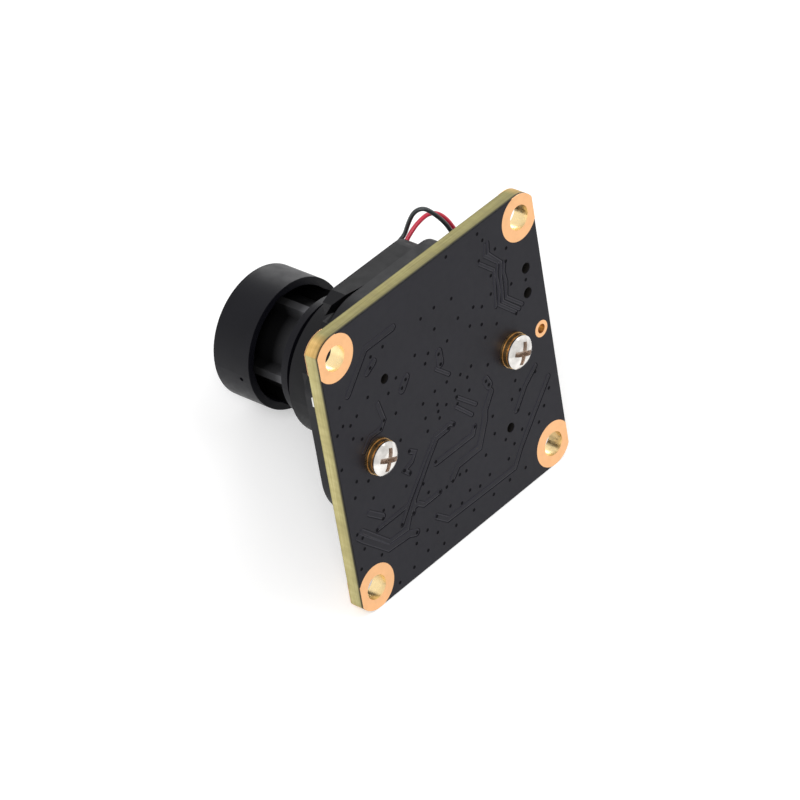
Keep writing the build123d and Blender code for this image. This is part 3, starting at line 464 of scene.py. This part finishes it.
# One look for each material slot of the record, with its roughness after its colour
SLOTS = {
    "board_mask": solder_mask("board_mask", MASK, 0.42, 0.17),
    "gold_plate": plated("gold_plate", (0.86, 0.48, 0.235), 0.34),
    "screw_nickel": plated("screw_nickel", (0.86, 0.83, 0.79), 0.16, vary=0.38, scratch=False),
    "washer_brass": plated("washer_brass", (0.52, 0.34, 0.16), 0.3),
    "holder_black": moulded("holder_black", PLASTIC, 0.5, gloss=0.17),
    "carriage_black": moulded("carriage_black", PLASTIC, 0.45, grain_height=0.002),
    "ir_cut_glass": optical("ir_cut_glass", (0.55, 0.85, 0.9), film=420.0),
    "clear_glass": optical("clear_glass", (0.95, 0.97, 0.96)),
    "yoke_steel": plated("yoke_steel", (0.6, 0.6, 0.6), 0.35),
    "bobbin_plastic": moulded("bobbin_plastic", (0.6, 0.56, 0.45), 0.45),
    "copper_wire": winding("copper_wire"),
    "tin_plate": plated("tin_plate", (0.78, 0.78, 0.76), 0.28),
    "magnet_grey": moulded("magnet_grey", (0.04, 0.04, 0.043), 0.35, grain_height=0.006),
    "shaft_steel": plated("shaft_steel", (0.75, 0.75, 0.75), 0.18),
    "barrel_black": moulded("barrel_black", BARREL, 0.42, grain_height=0.002, gloss=0.15),
    "coated_glass": optical("coated_glass", (0.86, 0.9, 0.97), film=380.0),
    "lens_glass": optical("lens_glass", (0.93, 0.96, 0.95), film=300.0),
    "lead_black": insulation("lead_black", (0.02, 0.026, 0.028)),
    "lead_red": insulation("lead_red", (0.6, 0.03, 0.065)),
    "connector_cream": moulded("connector_cream", (0.66, 0.62, 0.5), 0.42),
    "latch_brown": moulded("latch_brown", (0.05, 0.035, 0.025), 0.4),
    "sensor_ceramic": moulded("sensor_ceramic", (0.05, 0.055, 0.075), 0.3),
    "chip_black": moulded("chip_black", (0.018, 0.018, 0.018), 0.55),
    "can_nickel": plated("can_nickel", (0.7, 0.68, 0.62), 0.3),
    "chip_white": moulded("chip_white", (0.75, 0.75, 0.72), 0.4),
    "chip_tan": moulded("chip_tan", (0.2, 0.14, 0.08), 0.5),
}

# Further looks for some of the faces
LAMINATE = laminate("board_edge", PLAIN_TINT)
# Laminate of the edges that face up and down, with painted shade
LEVEL_EDGE_LAMINATE_PAINTED_SHADE = laminate("board_level_edge_painted_shade", LEVEL_EDGE_PAINTED_SHADE)
# Laminate of the rounded corners, with painted light
CORNER_LAMINATE_PAINTED_LIGHT = laminate("board_corner_painted_light", CORNER_PAINTED_LIGHT, LEVEL_EDGE_PAINTED_SHADE)
# The holder's plastic made lighter on the base than on the cover: painted light
BASE_PLASTIC_PAINTED_LIGHT = moulded("holder_base_black_painted_light", shade(PLASTIC, 1.4), 0.5, gloss=0.22)
# The barrel's hollow, with painted shade towards its floor and painted light near the flange
HOLLOW_PAINTED_LIGHT_AND_SHADE = plastic_with_painted_hollow_light_and_shade("barrel_hollow_painted_light_and_shade", HOLLOW_PAINTED_LIGHT_GREY, 0.03)
# Paler, lighter gold on the linings of the mounting holes: painted reflection
BORE_GOLD_PAINTED_REFLECTION = plated("bore_gold_painted_reflection", (1.0, 0.78, 0.42), 0.3)
IO_GOLD = plated("io_gold", (0.75, 0.48, 0.2), 0.35)
# Darker, browner metal inside the screws' cross recesses: painted shade
RECESS_PAINTED_SHADE = plated("screw_recess_painted_shade", (0.56, 0.48, 0.42), 0.3, scratch=False)
# Darker mask in each via's dimple: painted shade
VIA_DIMPLE_PAINTED_SHADE = solder_mask("via_dimple_painted_shade", shade(MASK, 0.3), 0.6, 0.06)
# Painted light on the half of each groove next to its copper run, and painted shade on its far half
GROOVE_NEAR_PAINTED_LIGHT = solder_mask("groove_near_half_painted_light", shade(MASK, 1.7), 0.42, 0.24)
GROOVE_FAR_PAINTED_SHADE = solder_mask("groove_far_half_painted_shade", shade(MASK, 0.6), 0.5, 0.09)
# Near-black walls of the holes through the board: painted shade
HOLE_WALL_PAINTED_SHADE = solder_mask("hole_wall_painted_shade", (0.006, 0.005, 0.004), 0.7, 0.2)

# Looks of the mask's skin, in the order of its faces' material indices
SKIN_LOOKS = [SLOTS["board_mask"], VIA_DIMPLE_PAINTED_SHADE, GROOVE_NEAR_PAINTED_LIGHT, GROOVE_FAR_PAINTED_SHADE]
PLAIN, DIMPLE, GROOVE_NEAR, GROOVE_FAR = range(len(SKIN_LOOKS))


def board_outline(inset):
    """Outline of the board as (x, z), its corners round about the mounting holes."""
    radius = MOUNT_ROUND - inset
    side = BOARD_HALF_X - inset
    start = math.acos((side - MOUNT_X) / radius)
    quarter = []
    for index in range(CORNER_STEPS + 1):
        angle = start + (math.pi / 2 - start) * index / CORNER_STEPS
        quarter.append((MOUNT_X + radius * math.cos(angle), MOUNT_Z + radius * math.sin(angle)))
    outline = []
    for sx, sz in CORNERS:
        corner = [(sx * x, sz * z) for x, z in quarter]
        outline += corner if sx * sz > 0 else corner[::-1]
    return outline


def ring(x, z, radius, count):
    """Points round a place on the board."""
    step = 2 * math.pi / count
    return [(x + radius * math.cos(i * step), z + radius * math.sin(i * step)) for i in range(count)]


def distance(point, x, z):
    """Distance from a flat point, whose y is the object's z, to a place on the board."""
    return math.hypot(point.x - x, point.y - z)


def inside(point, outline):
    """Whether a flat point lies within a closed outline."""
    x, z = point
    odd = False
    for (x0, z0), (x1, z1) in zip(outline, outline[1:] + outline[:1]):
        if (z0 > z) != (z1 > z) and x < (x1 - x0) * (z - z0) / (z1 - z0) + x0:
            odd = not odd
    return odd


def loop_round(line, reach):
    """Closed line at a distance round an open line, with round ends."""
    loop = []
    for way in (line, line[::-1]):
        way = [Vector(p) for p in way]
        runs = [(end - start).normalized() for start, end in zip(way, way[1:])]
        sides = [Vector((run.y, -run.x)) for run in runs]
        loop.append(way[0] + sides[0] * reach)
        for here, before, after in zip(way[1:], sides, sides[1:]):
            middle = (before + after).normalized()
            loop.append(here + middle * (reach / max(SHARPEST_TURN, middle.dot(before))))
        turn = math.atan2(sides[-1].y, sides[-1].x)
        for step in range(RUN_END_POINTS):
            angle = turn + math.pi * step / RUN_END_POINTS
            loop.append(way[-1] + Vector((math.cos(angle), math.sin(angle))) * reach)
    return [(p.x, p.y) for p in loop]


def gap_to_run(point, run):
    """Distance from a point to the edge of a copper run, negative inside."""
    width, line = run
    gaps = []
    for start, end in zip(line, line[1:]):
        a = Vector(start)
        b = Vector(end)
        along = max(0.0, min(1.0, (point - a).dot(b - a) / (b - a).length_squared))
        gaps.append((point - a - (b - a) * along).length)
    return min(gaps) - width / 2


# Outline just inside the board's own edge
WITHIN_EDGE = board_outline(EDGE_DEPTH)


def on_board_edge(at, normal):
    return abs(normal.y) < SIDE_LIMIT


def on_level_edge(at, normal):
    return abs(normal.z) > LEVEL_LIMIT


def on_corner_edge(at, normal):
    return on_board_edge(at, normal) and abs(at.x) > MOUNT_X and abs(at.z) > MOUNT_Z


def in_board_hole(at, normal):
    return on_board_edge(at, normal) and inside((at.x, at.z), WITHIN_EDGE)


def in_io_hole(at, normal):
    return abs(normal.y) < LINING_LIMIT


def in_mount_hole(at, normal):
    """On the lining of a mounting hole, and not on the rim of its land."""
    away = math.hypot(abs(at.x) - MOUNT_X, abs(at.z) - MOUNT_Z)
    return away < LINING_RADIUS and abs(normal.y) < LINING_LIMIT


def in_recess(at, normal):
    """Inside the cross recess of a screw, under the crown of its head."""
    away = min(math.hypot(at.x - x, at.z - z) for x, z, _ in SCREWS)
    reach = max(0.0, away - HEAD_FLAT)
    crown = HEAD_TOP - HEAD_CROWN + math.sqrt(max(0.0, HEAD_CROWN ** 2 - reach ** 2))
    return away < RECESS_REACH and HEAD_TOP - RECESS_DEPTH < at.y < crown - CROWN_ROOM


def in_hollow(at, normal):
    """On the neck and ribs of the lens barrel and inside the back of its hood."""
    away = math.hypot(at.x, at.z)
    reach = HOOD_INSIDE if at.y < HOOD_REAR + HOOD_RIM else RIB_REACH
    return NECK_INSIDE < away < reach and HOLLOW_FLOOR - END_ROOM < at.y < HOLLOW_MOUTH - END_ROOM


def everywhere(at, normal):
    return True


# Looks for the faces of a node that pass a test of their centre in millimetres and their
# normal, a later one over an earlier one
FACE_LOOKS = [
    ("circuit_board", LAMINATE, on_board_edge),
    ("circuit_board", LEVEL_EDGE_LAMINATE_PAINTED_SHADE, on_level_edge),
    ("circuit_board", CORNER_LAMINATE_PAINTED_LIGHT, on_corner_edge),
    ("circuit_board", HOLE_WALL_PAINTED_SHADE, in_board_hole),
    ("corner_lands", BORE_GOLD_PAINTED_REFLECTION, in_mount_hole),
    ("io_land", IO_GOLD, in_io_hole),
    ("holder_base", BASE_PLASTIC_PAINTED_LIGHT, everywhere),
    ("holder_screws", RECESS_PAINTED_SHADE, in_recess),
    ("lens_barrel", HOLLOW_PAINTED_LIGHT_AND_SHADE, in_hollow),
]


def dress_nodes(frame):
    """Materials of the CAD nodes."""
    for entry in frame["record"]["subparts"]:
        data = frame["nodes"][entry["node"]].data
        data.materials.clear()
        data.materials.append(SLOTS[entry["material_slot"]].material)
    for name, look, test in FACE_LOOKS:
        data = frame["nodes"][name].data
        data.materials.append(look.material)
        for face in data.polygons:
            if test(face.center / MM, face.normal):
                face.material_index = len(data.materials) - 1


def new_object(name, data):
    obj = bpy.data.objects.new(name, data)
    bpy.context.scene.collection.objects.link(obj)
    return obj


def skin_loops(runs, vias, bare):
    """Closed lines that the edges of the mask's faces follow, besides its outline."""
    loops = []
    for x, z, radius in bare:
        count = LARGE_HOLE_POINTS if radius > SMALL_HOLE else SMALL_HOLE_POINTS
        loops.append(ring(x, z, radius, count))
    for width, line in runs:
        for extra in (0.0, GROOVE_WIDTH / 2, GROOVE_WIDTH):
            loops.append(loop_round(line, width / 2 + extra))
    for x, z in vias:
        loops.append(ring(x, z, VIA_RIM, VIA_RIM_POINTS))
        loops.append(ring(x, z, VIA_FLOOR, VIA_FLOOR_POINTS))
    return loops


def skin_faces(runs, vias, bare):
    """The mask's flat points and its faces, each as (indices of points, centre)."""
    outline = board_outline(SKIN_INSET)
    points = []
    edges = []
    for loop in [outline, *skin_loops(runs, vias, bare)]:
        first = len(points)
        points += [Vector(p) for p in loop]
        edges += [(first + i, first + (i + 1) % len(loop)) for i in range(len(loop))]
    points, edges, faces = delaunay_2d_cdt(points, edges, [], 0, MERGE_DISTANCE)[:3]
    kept = []
    for face in faces:
        centre = sum((points[i] for i in face), Vector((0, 0))) / len(face)
        in_hole = any(distance(centre, x, z) < radius * HOLE_SHARE for x, z, radius in bare)
        if inside(centre, outline) and not in_hole:
            kept.append((face, centre))
    return points, kept


def skin_height(point, runs, vias):
    """Height of the mask at a point, less the depth of its groove or dimple."""
    gap = min(gap_to_run(point, run) for run in runs)
    depth = GROOVE_DEPTH * max(0.0, 1 - abs(gap - GROOVE_WIDTH / 2) / (GROOVE_WIDTH / 2))
    for x, z in vias:
        away = distance(point, x, z)
        if away < VIA_RIM:
            share = (VIA_RIM - away) / (VIA_RIM - VIA_FLOOR)
            depth = max(depth, GROOVE_DEPTH * min(1.0, share))
    return SKIN_HEIGHT - depth


def skin_look(centre, runs, vias):
    """Material index of the mask's face with this centre: painted shade in a via's dimple, painted
    light on the half of a groove next to its run and painted shade on its far half.
    """
    if any(distance(centre, x, z) < VIA_RIM for x, z in vias):
        return DIMPLE
    gap = min(gap_to_run(centre, run) for run in runs)
    if 0 < gap < GROOVE_WIDTH:
        return GROOVE_NEAR if gap < GROOVE_WIDTH / 2 else GROOVE_FAR
    return PLAIN


def mask_skin(name, runs, vias, bare, base_y, out):
    """Mask over copper: a sheet with a groove round each run and a dimple at each via.

    It stands on the board at base_y and faces along Y where out is 1, against it at -1.
    """
    points, faces = skin_faces(runs, vias, bare)
    mesh = bmesh.new()
    verts = []
    for point in points:
        y = base_y + out * skin_height(point, runs, vias)
        verts.append(mesh.verts.new(Vector((point.x, y, point.y)) * MM))
    for face, centre in faces:
        order = face if out < 0 else face[::-1]
        made = mesh.faces.new([verts[i] for i in order])
        made.material_index = skin_look(centre, runs, vias)
    bmesh.ops.delete(mesh, geom=[v for v in mesh.verts if not v.link_faces], context="VERTS")
    rim = [e for e in mesh.edges if len(e.link_faces) == 1]
    for grown in bmesh.ops.extrude_edge_only(mesh, edges=rim)["geom"]:
        if isinstance(grown, bmesh.types.BMVert):
            grown.co.y = base_y * MM
    bmesh.ops.recalc_face_normals(mesh, faces=mesh.faces)
    data = bpy.data.meshes.new(name)
    mesh.to_mesh(data)
    mesh.free()
    skin = new_object(name, data)
    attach(skin, "board")
    for look in SKIN_LOOKS:
        data.materials.append(look.material)


def lead(name, node, route, slot):
    """Insulated lead: one smooth curve with the route's points as its control points."""
    curve = bpy.data.curves.new(name, "CURVE")
    curve.dimensions = "3D"
    curve.bevel_depth = LEAD_RADIUS * MM
    curve.bevel_resolution = LEAD_ROUND_STEPS
    curve.resolution_u = LEAD_LENGTH_STEPS
    spline = curve.splines.new("NURBS")
    spline.points.add(len(route) - 1)
    for point, place in zip(spline.points, route):
        point.co = (*(Vector(place) * MM), 1.0)
    spline.order_u = 3
    spline.use_endpoint_u = True
    curve.materials.append(SLOTS[slot].material)
    obj = new_object(name, curve)
    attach(obj, "board")
    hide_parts(node)


def add_camera():
    data = bpy.data.cameras.new("camera")
    data.lens = FOCAL_LENGTH
    data.sensor_width = SENSOR_WIDTH
    data.clip_start = NEAREST
    data.clip_end = FARTHEST
    camera = new_object("camera", data)
    turn = Matrix((CAMERA_RIGHT, CAMERA_UP, CAMERA_BACK)).transposed().to_4x4()
    camera.matrix_world = Matrix.Translation(CAMERA_PLACE) @ turn
    bpy.context.scene.camera = camera


def add_softbox(name, place, width, power):
    data = bpy.data.lights.new(name, "AREA")
    data.size = width
    data.energy = power
    light = new_object(name, data)
    light.location = place
    light.rotation_euler = (-Vector(place)).to_track_quat("-Z", "Y").to_euler()


def seen_rays(tree):
    """1 for the rays that see the background: from the camera, mirrored and through glass."""
    path = tree.nodes.new("ShaderNodeLightPath")
    seen = path.outputs["Is Camera Ray"]
    for kind in ("Is Glossy Ray", "Is Transmission Ray"):
        either = tree.nodes.new("ShaderNodeMath")
        either.operation = "MAXIMUM"
        tree.links.new(seen, either.inputs[0])
        tree.links.new(path.outputs[kind], either.inputs[1])
        seen = either.outputs[0]
    return seen


def mixed(tree, share, first, second):
    """One shader that turns into another as share goes from 0 to 1."""
    mix = tree.nodes.new("ShaderNodeMixShader")
    for source, socket in zip((share, first, second), mix.inputs):
        tree.links.new(source, socket)
    return mix.outputs[0]


def floor_material():
    """Matt white that glows a little for the rays that see it, and is clear from below."""
    material = bpy.data.materials.new("floor")
    tree = cleared_tree(material)
    matt = tree.nodes.new("ShaderNodeBsdfDiffuse")
    matt.inputs["Color"].default_value = FLOOR_GREY
    amount = tree.nodes.new("ShaderNodeMath")
    amount.operation = "MULTIPLY"
    amount.inputs[1].default_value = FLOOR_GLOW
    tree.links.new(seen_rays(tree), amount.inputs[0])
    glow = tree.nodes.new("ShaderNodeEmission")
    glow.inputs["Color"].default_value = WHITE
    tree.links.new(amount.outputs[0], glow.inputs["Strength"])
    both = tree.nodes.new("ShaderNodeAddShader")
    tree.links.new(matt.outputs[0], both.inputs[0])
    tree.links.new(glow.outputs[0], both.inputs[1])
    clear = tree.nodes.new("ShaderNodeBsdfTransparent")
    below = tree.nodes.new("ShaderNodeNewGeometry").outputs["Backfacing"]
    output = tree.nodes.new("ShaderNodeOutputMaterial")
    surface = mixed(tree, below, both.outputs[0], clear.outputs[0])
    tree.links.new(surface, output.inputs["Surface"])
    return material


def add_floor():
    """Floor under the board's lower edge and the hood, on which the object leans."""
    mesh = bpy.data.meshes.new("floor")
    corners = []
    for sx, sy in ((-1, -1), (1, -1), (1, 1), (-1, 1)):
        y = sy * FLOOR_REACH
        corners.append((sx * FLOOR_REACH, y, FLOOR_LEVEL - y * math.tan(FLOOR_TILT)))
    mesh.from_pydata(corners, [], [(0, 1, 2, 3)])
    floor = new_object("floor", mesh)
    mesh.materials.append(floor_material())


def background(tree, strength):
    """White light from all sides."""
    node = tree.nodes.new("ShaderNodeBackground")
    node.inputs["Color"].default_value = WHITE
    node.inputs["Strength"].default_value = strength
    return node.outputs[0]


def add_world():
    """A softly lit room that looks plain white."""
    world = bpy.data.worlds.new("studio")
    bpy.context.scene.world = world
    tree = cleared_tree(world)
    output = tree.nodes.new("ShaderNodeOutputWorld")
    surface = mixed(tree, seen_rays(tree), background(tree, ROOM_LIGHT), background(tree, 1.0))
    tree.links.new(surface, output.inputs["Surface"])
    bpy.context.scene.view_settings.view_transform = "Standard"


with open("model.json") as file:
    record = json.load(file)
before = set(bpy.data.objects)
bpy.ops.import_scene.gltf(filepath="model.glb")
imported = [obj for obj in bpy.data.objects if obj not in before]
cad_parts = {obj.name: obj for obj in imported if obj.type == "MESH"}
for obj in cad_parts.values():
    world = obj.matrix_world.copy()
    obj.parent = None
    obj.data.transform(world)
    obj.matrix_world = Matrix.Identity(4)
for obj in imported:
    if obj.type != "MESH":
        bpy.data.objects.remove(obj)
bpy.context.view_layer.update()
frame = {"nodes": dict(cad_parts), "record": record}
add_camera()
dress_nodes(frame)
lead("black_insulation", "black_lead", BLACK_ROUTE, "lead_black")
lead("red_insulation", "red_lead", RED_ROUTE, "lead_red")
mask_skin("back_mask", BACK_RUNS, BACK_VIAS, BACK_BARE, 0.0, 1)
mask_skin("front_mask", FRONT_RUNS, FRONT_VIAS, FRONT_BARE, BOARD_FRONT, -1)
add_floor()
add_world()
for softbox in SOFTBOXES:
    add_softbox(*softbox)
